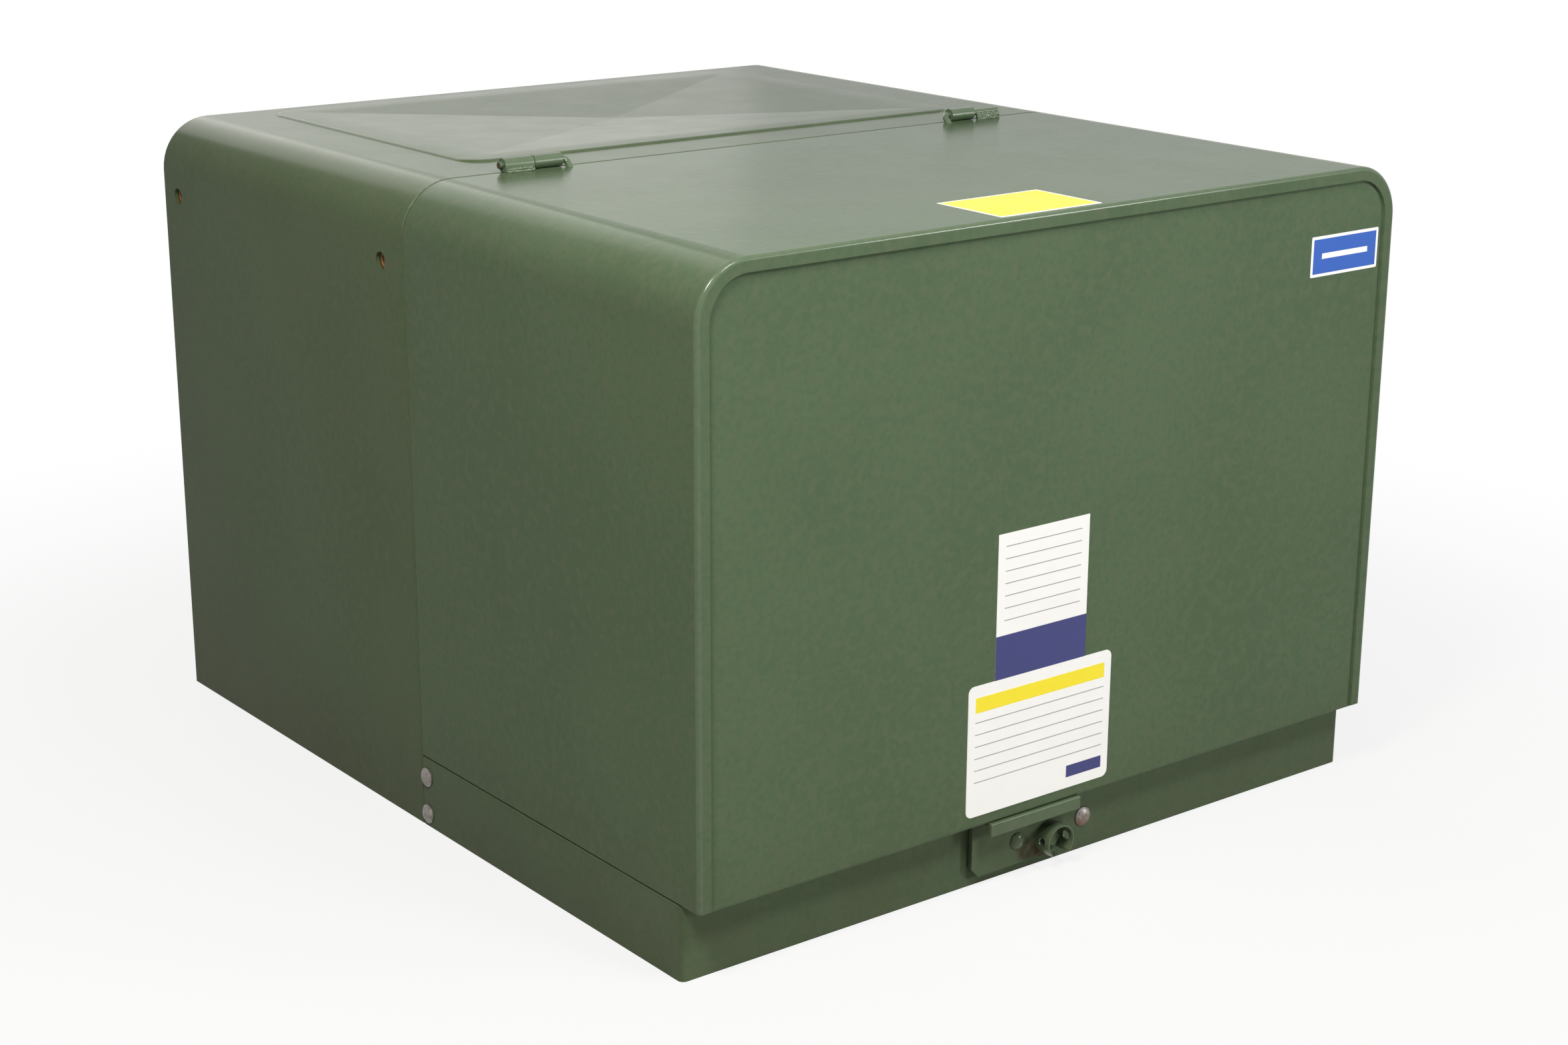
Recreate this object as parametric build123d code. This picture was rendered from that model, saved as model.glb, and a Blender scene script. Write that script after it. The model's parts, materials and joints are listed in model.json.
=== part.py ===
# Single-phase pad-mounted power transformer, low profile: an oil tank behind, a hood that flips up
# over the cable compartment in front, and a low sill that closes the compartment at the ground.
# Millimetres. +X to the right seen from the front, +Y to the rear, +Z up.
# The origin lies on the ground, in the middle of the footprint.
import os
from math import asin, cos, radians, sin

from build123d import *

# Cabinet
width = 864
height = 650
hood_depth = 474
tank_depth = 518
top_bend_radius = 54
seam_gap = 5

# Tank plates
tank_plate = 4
wall_plate = 5
floor_plate = 6
front_wall_recess = 6
rear_wall_recess = 3

# Stamped cover panel on the tank's top
cover_side_margin = 114
cover_front_margin = 58
cover_rear_margin = 25
cover_corner_radius = 30
cover_slope = 7
cover_rise = 3
cover_border = 17
cover_dish = 9
cover_rim = 3

# Threaded lifting bosses
lifting_front_from_seam = 43
lifting_rear_from_back = 32
lifting_below_top = 80
lifting_boss_radius = 19
lifting_boss_length = 26
lifting_thread_radius = 8
lifting_thread_length = 22
lifting_mouth_clearance = 1

# Core and coils, sealed inside the tank
core_width = 380
core_depth = 210
core_height = 430
core_limb = 75
coil_depth = 330
coil_corner_radius = 60

# Hood
hood_sheet = 3
hood_bottom = 75
flange_width = 13.5
flange_bend_radius = 4
panel_return_depth = 21
lip_clearance = 5
lip_sheet = 3
lip_reach = 18

# Sill and the bolts that hold it
sill_height = 70
sill_setback = 27
sill_corner_radius = 6
bracket_length = 30
bracket_plate = 4
bracket_edge = 4
bolt_radius = 4.75
bolt_head_radius = 9.9
bolt_head_height = 5
bolt_head_edge = 1.2
bolt_hole_clearance = 0.25
nut_across = 17
nut_height = 8
bolt_tip = 5
side_bolt_from_edge = 7.5
side_bolt_heights = (13.5, 53)
front_bolt_x = 54.5
front_bolt_z = 34

# Latch on the hood, in front of the sill
latch_plate_left = -98
latch_plate_right = 19
latch_guard_left = -91
latch_guard_right = 24.6
latch_sheet = 3
latch_gap = 5
latch_bottom = 11
latch_corner = 9
guard_drop = 3.2
guard_lip_height = 12.8
cup_x = 1.2
cup_z = 29.8
cup_outer_radius = 17
cup_wall = 1.8
cup_mouth_angle = 76
cup_cross_hole_radius = 4.5
lock_bolt_radius = 4.75
lock_head_radius = 9
lock_head_height = 7
lock_hole_radius = 8
rivet_x = -40
rivet_z = 35.5
rivet_radius = 4
rivet_head_radius = 8.5
rivet_head_height = 5
rivet_head_edge = 1
keeper_left = -20
keeper_right = 76
keeper_bottom = 9
keeper_top = 56
keeper_plate = 6

# Hinges
hinge_barrel_radius = 6.7
hinge_lift = 0.3
hinge_pin_radius = 3.4
hinge_running_gap = 0.05
hinge_side_gap = 1
hinge_from_side = 146
tank_barrel_length = 32.5
hood_barrel_length = 33
pin_stub = 4
weld_rod_length = 36
weld_margin = 4
weld_depth = 4
weld_shoulder = 1.8
tail_straight = 0.5
tail_bend_radius = 5

# Fittings on the tank's front wall, inside the compartment
primary_x_shares = (-0.36, -0.19)
primary_z_share = 0.6
primary_flange_radius = 50
primary_flange_thickness = 10
primary_collar_radius = 38
primary_collar_length = 34
primary_nose_radius = 31
primary_tip_radius = 24
primary_nose_length = 96
primary_socket_radius = 9
primary_socket_depth = 70

secondary_x_shares = (0.06, 0.2, 0.34)
secondary_z_share = 0.5
secondary_flange_radius = 42
secondary_flange_thickness = 12
secondary_body_radius = 30
secondary_body_length = 34
stud_radius = 12
stud_length = 24
spade_thickness = 12
spade_hole_radius = 7
spade_hole_spacing = 44.5
spade_side_margin = 8.75
spade_end_margin = 22

fuse_x_share = -0.275
fuse_z_share = 0.8
fuse_flange_radius = 30
fuse_flange_thickness = 8
fuse_tube_radius = 20
fuse_tube_length = 58
fuse_cap_radius = 24
fuse_cap_length = 22
fuse_eye_radius = 13
fuse_eye_hole_radius = 7
fuse_eye_thickness = 7

relief_x_share = 0.36
relief_z_share = 0.86
relief_nut_radius = 17
relief_nut_length = 12
relief_body_radius = 12
relief_body_length = 26
relief_cap_radius = 15
relief_cap_length = 14

level_x_share = 0.2
level_z_share = 0.86
level_rim_radius = 24
level_rim_length = 9
level_plug_across = 26
level_plug_length = 12

drain_x_share = -0.4
drain_z_share = 0.2
drain_flange_radius = 22
drain_flange_length = 8
drain_body_radius = 15
drain_body_length = 34
drain_cap_across = 34
drain_cap_length = 16

ground_x_shares = (-0.3, 0.3)
ground_z_share = 0.2
ground_boss_radius = 18
ground_boss_length = 20
ground_bolt_across = 19
ground_bolt_length = 9

plate_x_share = 0.02
plate_z_share = 0.8
plate_width = 150
plate_height = 110
plate_thickness = 2
plate_corner_radius = 6

cut_overrun = 20

# Places worked out from the sizes above
front_y = -(hood_depth + tank_depth) / 2
rear_y = (hood_depth + tank_depth) / 2
seam_y = front_y + hood_depth
hood_rear_y = seam_y - seam_gap / 2
tank_front_y = seam_y + seam_gap / 2
half_width = width / 2
wall_y = tank_front_y + front_wall_recess
sill_front_y = front_y + sill_setback
latch_back_y = sill_front_y - latch_gap
latch_front_y = latch_back_y - latch_sheet
panel_front_y = front_y + hood_sheet
hinge_rise = hinge_barrel_radius + hinge_lift
hinge_z = height + hinge_rise
hinge_x = half_width - hinge_from_side
lifting_z = height - lifting_below_top
lifting_mouth_radius = lifting_thread_radius + lifting_mouth_clearance
side_bolt_y = hood_rear_y - side_bolt_from_edge
lifting_places = (seam_y + lifting_front_from_seam, rear_y - lifting_rear_from_back)
barrel_outer = hinge_x - hinge_side_gap
tank_barrel_span = (barrel_outer - tank_barrel_length, barrel_outer)
hood_barrel_span = (-hinge_x - hood_barrel_length, -hinge_x)


# Small shapes that several pieces share
def block(x_span, y_span, z_span):
    """A box between two corners, given as one span on each axis."""
    spans = (x_span, y_span, z_span)
    middle = [(low + high) / 2 for low, high in spans]
    return Pos(*middle) * Box(*[high - low for low, high in spans])


def arch(side_x, bottom, top, radius, y_span):
    """A solid block with two rounded upper edges that run front to back."""
    outline = Pos(0, (bottom + top) / 2) * Rectangle(2 * side_x, top - bottom)
    outline = fillet(outline.vertices().group_by(Axis.Y)[-1], radius)
    front, back = y_span
    return extrude(Plane.XZ.offset(-back) * outline, back - front)


def bar_x(radius, x_span, y, z):
    """A round bar that runs from left to right."""
    left, right = x_span
    return Pos((left + right) / 2, y, z) * Rot(0, 90, 0) * Cylinder(radius, right - left)


def bar_y(radius, x, y_span, z):
    """A round bar that runs from front to back."""
    front, back = y_span
    return Pos(x, (front + back) / 2, z) * Rot(90, 0, 0) * Cylinder(radius, back - front)


def turned(points):
    """A body of revolution about +Y from (radius, distance along the axis) points."""
    return revolve(make_face(Polyline(*points, close=True)), Axis.Y)


def on_wall(body, x, z):
    """Set a body that grows along +Y on the tank's front wall, pointing forward."""
    return Pos(x, wall_y, z) * Rot(180, 0, 0) * body


def hex_prism(across, length):
    """A hexagon bar along +Y, across flats."""
    outline = RegularPolygon(across / 2, 6, major_radius=False)
    return extrude(Plane.XZ * outline, -length)


def domed_head(radius, edge, dome_height):
    """A shallow domed bolt head along +Y: a short rim with a spherical cap."""
    rise = dome_height - edge
    sphere = (radius ** 2 + rise ** 2) / (2 * rise)
    half_turn = asin(radius / sphere) / 2
    middle = (sphere * sin(half_turn), dome_height - sphere + sphere * cos(half_turn))
    rim = Polyline((0, dome_height), (0, 0), (radius, 0), (radius, edge))
    cap = ThreePointArc((radius, edge), middle, (0, dome_height))
    return revolve(make_face(rim + cap), Axis.Y)


def carriage_bolt(grip):
    """A domed bolt along +Y with its head outside y = 0 and its nut beyond the grip."""
    head = Rot(180, 0, 0) * domed_head(bolt_head_radius, bolt_head_edge, bolt_head_height)
    shank = bar_y(bolt_radius, 0, (0, grip + nut_height + bolt_tip), 0)
    nut = Pos(0, grip, 0) * hex_prism(nut_across, nut_height)
    return head + shank + nut


# Tank
def cover_outline(inset, z):
    left = half_width - cover_side_margin - inset
    front = tank_front_y + cover_front_margin + inset
    back = rear_y - cover_rear_margin - inset
    rectangle = RectangleRounded(2 * left, back - front, cover_corner_radius - inset)
    return Pos(0, (front + back) / 2, z) * rectangle


def raised_panel(inset, drop):
    """The solid under the cover's steep edge, up to its flat border."""
    base = height - drop
    upper = cover_outline(inset + cover_slope, base + cover_rise)
    return loft([cover_outline(inset, base), upper], ruled=True)


def dish(drop):
    """The hollow inside the border: four planes that fall to the middle, creased to the corners."""
    top = height + cover_rise - drop
    mouth = cover_outline(cover_slope + cover_border, top)
    middle = mouth.center()
    return loft([mouth, Vertex(middle.X, middle.Y, top - cover_dish)], ruled=True)


def tank_cover():
    slab = extrude(cover_outline(0, height - tank_plate), tank_plate)
    sheet = slab + raised_panel(0, 0) - raised_panel(cover_rim, tank_plate)
    return sheet + dish(tank_plate) - dish(0)


def tank_wrap():
    outer = arch(half_width, 0, height, top_bend_radius, (tank_front_y, rear_y))
    inner = arch(half_width - tank_plate, -cut_overrun, height - tank_plate, top_bend_radius - tank_plate,
                 (tank_front_y - cut_overrun, rear_y + cut_overrun))
    wrap = outer - inner - extrude(cover_outline(0, height - tank_plate), tank_plate)
    reach = half_width + cut_overrun
    for y in lifting_places:
        wrap -= bar_x(lifting_mouth_radius, (-reach, reach), y, lifting_z)
    return wrap


def end_wall(y_span):
    return arch(half_width - tank_plate, 0, height - tank_plate, top_bend_radius - tank_plate, y_span)


def tank_floor():
    x_span = (tank_plate - half_width, half_width - tank_plate)
    y_span = (wall_y + wall_plate, rear_y - rear_wall_recess - wall_plate)
    return block(x_span, y_span, (0, floor_plate))


def lifting_boss(y):
    """A blind threaded boss behind the left side's hole."""
    mouth = tank_plate - half_width
    body = bar_x(lifting_boss_radius, (mouth, mouth + lifting_boss_length), y, lifting_z)
    return body - bar_x(lifting_thread_radius, (mouth, mouth + lifting_thread_length), y, lifting_z)


def core_and_coils():
    """A wound core with two windows, and the coil block that fills them."""
    middle = (wall_y + rear_y) / 2
    x_span = (-core_width / 2, core_width / 2)
    y_span = (middle - core_depth / 2, middle + core_depth / 2)
    core = block(x_span, y_span, (floor_plate, floor_plate + core_height))
    coil_low = floor_plate + core_limb
    coil_high = floor_plate + core_height - core_limb
    coil = Pos(0, middle) * RectangleRounded(core_width - 2 * core_limb, coil_depth, coil_corner_radius)
    return core + extrude(Pos(0, 0, coil_low) * coil, coil_high - coil_low)


# Sill
def sill():
    side = half_width
    length = hood_rear_y - sill_front_y
    outline = Pos(0, sill_front_y + length / 2) * Rectangle(2 * side, length)
    outline = fillet(outline.vertices().group_by(Axis.Y)[0], sill_corner_radius)
    strip = extrude(outline, sill_height)
    inside = half_width - tank_plate
    hollow = block((-inside, inside), (sill_front_y + tank_plate, hood_rear_y + cut_overrun),
                   (-cut_overrun, sill_height + cut_overrun))
    strip -= fillet(hollow.edges().filter_by(Axis.Z).group_by(Axis.Y)[0], sill_corner_radius - tank_plate)
    hole = bolt_radius + bolt_hole_clearance
    front_span = (sill_front_y - cut_overrun, sill_front_y + cut_overrun)
    for z in side_bolt_heights:
        strip -= bar_x(hole, (-side - cut_overrun, side + cut_overrun), side_bolt_y, z)
    strip -= bar_y(hole, front_bolt_x, front_span, front_bolt_z)
    return strip - bar_y(lock_hole_radius, cup_x, front_span, cup_z)


def sill_bracket():
    """A tab on the tank's front wall that the sill's left end is bolted to."""
    outer = tank_plate - half_width
    tab = block((outer, outer + bracket_plate), (hood_rear_y - bracket_length, wall_y),
                (bracket_edge, sill_height - bracket_edge))
    hole = bolt_radius + bolt_hole_clearance
    for z in side_bolt_heights:
        tab -= bar_x(hole, (outer - cut_overrun, outer + cut_overrun), side_bolt_y, z)
    return tab


def sill_side_bolts():
    bolt = Rot(0, 0, -90) * carriage_bolt(tank_plate + bracket_plate)
    return Compound(children=[Pos(-half_width, side_bolt_y, z) * bolt for z in side_bolt_heights])


def sill_front_bolt():
    return Pos(front_bolt_x, sill_front_y, front_bolt_z) * carriage_bolt(tank_plate + keeper_plate)


def latch_keeper():
    """The plate behind the sill that takes the lock bolt's thread."""
    back = sill_front_y + tank_plate
    plate = block((keeper_left, keeper_right), (back, back + keeper_plate), (keeper_bottom, keeper_top))
    reach = (back - cut_overrun, back + cut_overrun)
    plate -= bar_y(bolt_radius + bolt_hole_clearance, front_bolt_x, reach, front_bolt_z)
    return plate - bar_y(lock_bolt_radius + bolt_hole_clearance, cup_x, reach, cup_z)


# Hood
def upright_edges(block_shape):
    """The edges round an arch's front face, without the one along its bottom."""
    return block_shape.edges().group_by(Axis.Y)[0].sort_by(Axis.Z)[1:]


def hood_wrap():
    """Sides and top in one sheet, turned in at the front to a narrow flange round the opening."""
    outer = arch(half_width, hood_bottom, height, top_bend_radius, (front_y, hood_rear_y))
    outer = fillet(upright_edges(outer), flange_bend_radius)
    inner = arch(half_width - hood_sheet, hood_bottom - cut_overrun, height - hood_sheet,
                 top_bend_radius - hood_sheet, (panel_front_y, hood_rear_y + cut_overrun))
    inner = fillet(upright_edges(inner), flange_bend_radius - hood_sheet)
    opening = arch(half_width - flange_width, hood_bottom - cut_overrun, height - flange_width,
                   top_bend_radius - flange_width, (front_y - cut_overrun, panel_front_y + cut_overrun))
    return outer - inner - opening


def hood_front_panel():
    """The front sheet behind the flange, with a bottom edge turned back over the sill."""
    margin = flange_bend_radius
    sheet = arch(half_width - margin, hood_bottom, height - margin, top_bend_radius - margin,
                 (panel_front_y, panel_front_y + hood_sheet))
    turned_edge = block((margin - half_width, half_width - margin),
                        (panel_front_y, panel_front_y + panel_return_depth),
                        (hood_bottom, hood_bottom + hood_sheet))
    return sheet + turned_edge


def seam_lip():
    """A strip on the tank's front wall that closes the seam behind the hood's rear edge."""
    inset = hood_sheet + lip_clearance
    y_span = (hood_rear_y - lip_reach, wall_y)
    outer = arch(half_width - inset, hood_bottom, height - inset, top_bend_radius - inset, y_span)
    inset += lip_sheet
    inner = arch(half_width - inset, hood_bottom - cut_overrun, height - inset, top_bend_radius - inset,
                 (y_span[0] - cut_overrun, y_span[1] + cut_overrun))
    return outer - inner


# Latch
def latch_plate():
    outline = Polyline((latch_plate_left, hood_bottom), (latch_plate_left, latch_bottom + latch_corner),
                       (latch_plate_left + latch_corner, latch_bottom),
                       (latch_plate_right, latch_bottom), (latch_plate_right, hood_bottom), close=True)
    plate = extrude(Plane.XZ.offset(-latch_back_y) * make_face(outline), latch_sheet)
    reach = (latch_front_y - cut_overrun, latch_back_y + cut_overrun)
    plate -= bar_y(lock_bolt_radius + bolt_hole_clearance, cup_x, reach, cup_z)
    return plate - bar_y(rivet_radius, rivet_x, reach, rivet_z)


def latch_guard():
    """A shelf over the lock with a lip bent down at its front edge."""
    top = hood_bottom - guard_drop
    x_span = (latch_guard_left, latch_guard_right)
    shelf = block(x_span, (front_y, latch_front_y), (top - latch_sheet, top))
    lip = block(x_span, (front_y, front_y + latch_sheet), (top - guard_lip_height, top))
    guard = shelf + lip
    bend = guard.edges().filter_by(Axis.X).group_by(Axis.Z)[-1].group_by(Axis.Y)[0]
    return fillet(bend, latch_sheet / 2)


def lock_cup():
    """A short tube round the lock bolt, open at the bottom, with holes for a shackle."""
    y_span = (front_y, latch_front_y)
    reach = (front_y - cut_overrun, latch_front_y + cut_overrun)
    tube = bar_y(cup_outer_radius, cup_x, y_span, cup_z)
    tube -= bar_y(cup_outer_radius - cup_wall, cup_x, reach, cup_z)
    half_mouth = cup_outer_radius * sin(radians(cup_mouth_angle / 2))
    tube -= block((cup_x - half_mouth, cup_x + half_mouth), reach, (cup_z - 2 * cup_outer_radius, cup_z))
    middle = (front_y + latch_front_y) / 2
    across = (cup_x - 2 * cup_outer_radius, cup_x + 2 * cup_outer_radius)
    return tube - bar_x(cup_cross_hole_radius, across, middle, cup_z)


def lock_bolt():
    """The captive lock bolt, drawn back so that its tip is level with the latch plate."""
    head = RegularPolygon(lock_head_radius, 5)
    head = extrude(Plane.XZ.offset(-latch_front_y) * Pos(cup_x, cup_z) * head, lock_head_height)
    return head + bar_y(lock_bolt_radius, cup_x, (latch_front_y, latch_back_y), cup_z)


def latch_rivet():
    head = Rot(180, 0, 0) * domed_head(rivet_head_radius, rivet_head_edge, rivet_head_height)
    return Pos(rivet_x, latch_front_y, rivet_z) * (head + bar_y(rivet_radius, 0, (0, latch_sheet), 0))


# Hinges: the pins turn with the hood, inside barrels that are welded to the tank
def hinge_barrel(x_span, weld_side, bore_radius):
    """A barrel over the seam with a weld along the edge that carries it: -1 hood, +1 tank."""
    barrel = bar_x(hinge_barrel_radius, x_span, seam_y, hinge_z)
    near = seam_y + weld_side * seam_gap / 2
    far = seam_y + weld_side * hinge_barrel_radius
    barrel += block(x_span, (min(near, far), max(near, far)), (height, hinge_z))
    left, right = x_span
    return barrel - bar_x(bore_radius, (left - cut_overrun, right + cut_overrun), seam_y, hinge_z)


def tank_hinge_barrel():
    """The left hinge's barrel on the tank, bored for the pin to turn in."""
    left, right = tank_barrel_span
    return hinge_barrel((-right, -left), 1, hinge_pin_radius + hinge_running_gap)


def pin_tail(inner_end):
    """The right pin's end, bent down and forward on to the hood's top beside the tank's barrel."""
    reach = tail_bend_radius + hinge_rise
    slope = Plane((inner_end, seam_y, hinge_z), x_dir=(-1, 0, 0), z_dir=(0, -1, 1))
    straight = Line((0, 0), (tail_straight, 0))
    bend = JernArc(straight @ 1, straight % 1, tail_bend_radius, 90)
    drop = Line(bend @ 1, (bend @ 1) + (bend % 1) * reach)
    path = slope * (straight + bend + drop)
    section = Plane(path @ 0, z_dir=(-1, 0, 0)) * Circle(hinge_pin_radius)
    tail = sweep(section, path)
    far = inner_end - tail_straight - 2 * tail_bend_radius
    below = block((far - cut_overrun, inner_end + cut_overrun),
                  (seam_y - 2 * reach, seam_y + 2 * reach), (height - 2 * reach, height))
    return tail - below


def hinge_pin_right():
    """A pin through the tank's barrel, with its outer end welded straight on to the hood."""
    inner = tank_barrel_span[0] - hinge_side_gap
    outer = hinge_x + weld_rod_length
    pin = bar_x(hinge_pin_radius, (inner, outer), seam_y, hinge_z)
    weld = block((hinge_x + weld_margin, outer - weld_margin), (hood_rear_y - weld_depth, hood_rear_y),
                 (height, hinge_z - weld_shoulder))
    return pin + weld + pin_tail(inner)


def hinge_pin_left():
    """A pin through the hood's barrel and the tank's barrel, bent down at its inner end."""
    inner = tank_barrel_span[0] - hinge_side_gap
    outer = hinge_x + hood_barrel_length + pin_stub
    pin = bar_x(hinge_pin_radius, (inner, outer), seam_y, hinge_z) + pin_tail(inner)
    return mirror(pin, about=Plane.YZ)


# Fittings on the front wall
def primary_bushing(x_share):
    """A bushing well with its insert: flange, collar and tapered nose with a contact socket."""
    nose_start = primary_flange_thickness + primary_collar_length
    tip = nose_start + primary_nose_length
    body = turned([(0, 0), (primary_flange_radius, 0), (primary_flange_radius, primary_flange_thickness),
                   (primary_collar_radius, primary_flange_thickness), (primary_collar_radius, nose_start),
                   (primary_nose_radius, nose_start), (primary_tip_radius, tip), (0, tip)])
    body -= bar_y(primary_socket_radius, 0, (tip - primary_socket_depth, tip + cut_overrun), 0)
    return on_wall(body, x_share * width, primary_z_share * height)


def secondary_bushing(x_share):
    """A moulded low-voltage bushing."""
    end = secondary_flange_thickness + secondary_body_length
    body = turned([(0, 0), (secondary_flange_radius, 0),
                   (secondary_flange_radius, secondary_flange_thickness),
                   (secondary_body_radius, secondary_flange_thickness),
                   (secondary_body_radius, end), (0, end)])
    return on_wall(body, x_share * width, secondary_z_share * height)


def secondary_terminal(x_share):
    """A stud that ends in a flat pad with four bolt holes."""
    start = secondary_flange_thickness + secondary_body_length
    pad_start = start + stud_length
    stud = bar_y(stud_radius, 0, (start, pad_start), 0)
    half_pad = spade_hole_spacing / 2 + spade_side_margin
    pad_end = pad_start + spade_hole_spacing + 2 * spade_end_margin
    pad = block((-spade_thickness / 2, spade_thickness / 2), (pad_start, pad_end), (-half_pad, half_pad))
    for along in (spade_end_margin, spade_end_margin + spade_hole_spacing):
        for side in (-spade_hole_spacing / 2, spade_hole_spacing / 2):
            pad -= bar_x(spade_hole_radius, (-spade_thickness, spade_thickness), pad_start + along, side)
    return on_wall(stud + pad, x_share * width, secondary_z_share * height)


def fuse_holder():
    """A draw-out fuse holder with a hook eye on its cap."""
    cap_start = fuse_flange_thickness + fuse_tube_length
    end = cap_start + fuse_cap_length
    body = turned([(0, 0), (fuse_flange_radius, 0), (fuse_flange_radius, fuse_flange_thickness),
                   (fuse_tube_radius, fuse_flange_thickness), (fuse_tube_radius, cap_start),
                   (fuse_cap_radius, cap_start), (fuse_cap_radius, end), (0, end)])
    eye_y = end + fuse_eye_hole_radius
    body += bar_x(fuse_eye_radius, (-fuse_eye_thickness / 2, fuse_eye_thickness / 2), eye_y, 0)
    body -= bar_x(fuse_eye_hole_radius, (-fuse_eye_thickness, fuse_eye_thickness), eye_y, 0)
    return on_wall(body, fuse_x_share * width, fuse_z_share * height)


def relief_valve():
    nut_end = relief_nut_length
    body_end = nut_end + relief_body_length
    end = body_end + relief_cap_length
    body = turned([(0, 0), (relief_nut_radius, 0), (relief_nut_radius, nut_end),
                   (relief_body_radius, nut_end), (relief_body_radius, body_end),
                   (relief_cap_radius, body_end), (relief_cap_radius, end), (0, end)])
    return on_wall(body, relief_x_share * width, relief_z_share * height)


def level_plug():
    body = turned([(0, 0), (level_rim_radius, 0), (level_rim_radius, level_rim_length),
                   (0, level_rim_length)])
    body += Pos(0, level_rim_length, 0) * hex_prism(level_plug_across, level_plug_length)
    return on_wall(body, level_x_share * width, level_z_share * height)


def drain_valve():
    end = drain_flange_length + drain_body_length
    body = turned([(0, 0), (drain_flange_radius, 0), (drain_flange_radius, drain_flange_length),
                   (drain_body_radius, drain_flange_length), (drain_body_radius, end), (0, end)])
    body += Pos(0, end, 0) * hex_prism(drain_cap_across, drain_cap_length)
    return on_wall(body, drain_x_share * width, drain_z_share * height)


def ground_pads():
    """Two grounding bosses, each with its bolt."""
    boss = turned([(0, 0), (ground_boss_radius, 0), (ground_boss_radius, ground_boss_length),
                   (0, ground_boss_length)])
    boss += Pos(0, ground_boss_length, 0) * hex_prism(ground_bolt_across, ground_bolt_length)
    places = [share * width for share in ground_x_shares]
    return Compound(children=[on_wall(boss, x, ground_z_share * height) for x in places])


def rating_plate():
    plate = RectangleRounded(plate_width, plate_height, plate_corner_radius)
    plate = Pos(plate_x_share * width, plate_z_share * height) * plate
    return extrude(Plane.XZ.offset(-wall_y) * plate, plate_thickness)


# Every piece by its name
pieces = {
    "tank_wrap": tank_wrap(),
    "tank_cover": tank_cover(),
    "tank_front_wall": end_wall((wall_y, wall_y + wall_plate)),
    "tank_rear_wall": end_wall((rear_y - rear_wall_recess - wall_plate, rear_y - rear_wall_recess)),
    "tank_floor": tank_floor(),
    "core_and_coils": core_and_coils(),
    "sill": sill(),
    "sill_front_bolt": sill_front_bolt(),
    "latch_keeper": latch_keeper(),
    "seam_lip": seam_lip(),
    "hood_wrap": hood_wrap(),
    "hood_front_panel": hood_front_panel(),
    "latch_plate": latch_plate(),
    "latch_guard": latch_guard(),
    "lock_cup": lock_cup(),
    "lock_bolt": lock_bolt(),
    "latch_rivet": latch_rivet(),
    "hinge_barrel_hood_left": hinge_barrel(hood_barrel_span, -1, hinge_pin_radius),
    "hinge_pin_left": hinge_pin_left(),
    "hinge_pin_right": hinge_pin_right(),
    "fuse_holder": fuse_holder(),
    "relief_valve": relief_valve(),
    "level_plug": level_plug(),
    "drain_valve": drain_valve(),
    "ground_pads": ground_pads(),
    "rating_plate": rating_plate(),
}
left_pieces = {
    "lifting_boss_front": lifting_boss(lifting_places[0]),
    "lifting_boss_rear": lifting_boss(lifting_places[1]),
    "sill_bracket": sill_bracket(),
    "sill_bolts": sill_side_bolts(),
    "hinge_barrel_tank": tank_hinge_barrel(),
}
for name, shape in left_pieces.items():
    pieces[f"{name}_left"] = shape
    pieces[f"{name}_right"] = mirror(shape, about=Plane.YZ)

for number, share in enumerate(primary_x_shares, start=1):
    pieces[f"primary_bushing_{number}"] = primary_bushing(share)
for number, share in enumerate(secondary_x_shares, start=1):
    pieces[f"secondary_bushing_{number}"] = secondary_bushing(share)
    pieces[f"secondary_terminal_{number}"] = secondary_terminal(share)

os.makedirs("parts", exist_ok=True)
for name, shape in pieces.items():
    export_step(shape, f"parts/{name}.step")
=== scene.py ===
"""Finishes a low-profile pad-mounted transformer round its fixed frame.

It adds enamel, seams, welds, threads, blank labels and small fittings, and sets up a plain stage.
"""
import json
import math
from functools import partial

import bmesh
import bpy
from mathutils import Euler, Matrix, Vector


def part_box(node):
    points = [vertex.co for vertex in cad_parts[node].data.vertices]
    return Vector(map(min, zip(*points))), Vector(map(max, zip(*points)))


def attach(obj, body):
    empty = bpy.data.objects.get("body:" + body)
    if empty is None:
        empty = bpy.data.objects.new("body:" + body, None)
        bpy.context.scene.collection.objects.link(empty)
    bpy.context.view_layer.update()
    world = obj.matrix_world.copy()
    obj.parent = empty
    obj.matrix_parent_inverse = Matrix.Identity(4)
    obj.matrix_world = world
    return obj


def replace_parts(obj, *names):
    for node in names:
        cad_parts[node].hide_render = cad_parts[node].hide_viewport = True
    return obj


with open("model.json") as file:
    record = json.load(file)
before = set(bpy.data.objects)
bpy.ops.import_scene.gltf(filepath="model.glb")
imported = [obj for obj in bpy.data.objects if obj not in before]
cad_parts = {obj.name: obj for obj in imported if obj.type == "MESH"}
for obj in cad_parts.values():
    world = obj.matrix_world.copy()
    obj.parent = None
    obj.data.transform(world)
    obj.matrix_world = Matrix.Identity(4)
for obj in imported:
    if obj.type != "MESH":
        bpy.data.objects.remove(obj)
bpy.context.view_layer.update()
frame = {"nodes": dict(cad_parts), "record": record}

bl_info = {
    "name": "Pad-mounted transformer finish",
    "version": (1, 0, 0),
    "blender": (4, 5, 0),
    "location": "View3D > Sidebar > Transformer",
    "description": "Paints and details a pad-mounted transformer round its fixed frame",
    "category": "Object",
}

MM = 0.001
WHITE = (1, 1, 1, 1)

# The turn that makes what is built upwards face the front
FACING_FRONT = (math.pi / 2, 0, 0)

# How far an edge strip lies below the faces beside it, and how far it reaches into the solid that it widens
SUNK, OVERLAP = 0.1 * MM, 0.5 * MM

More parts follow.
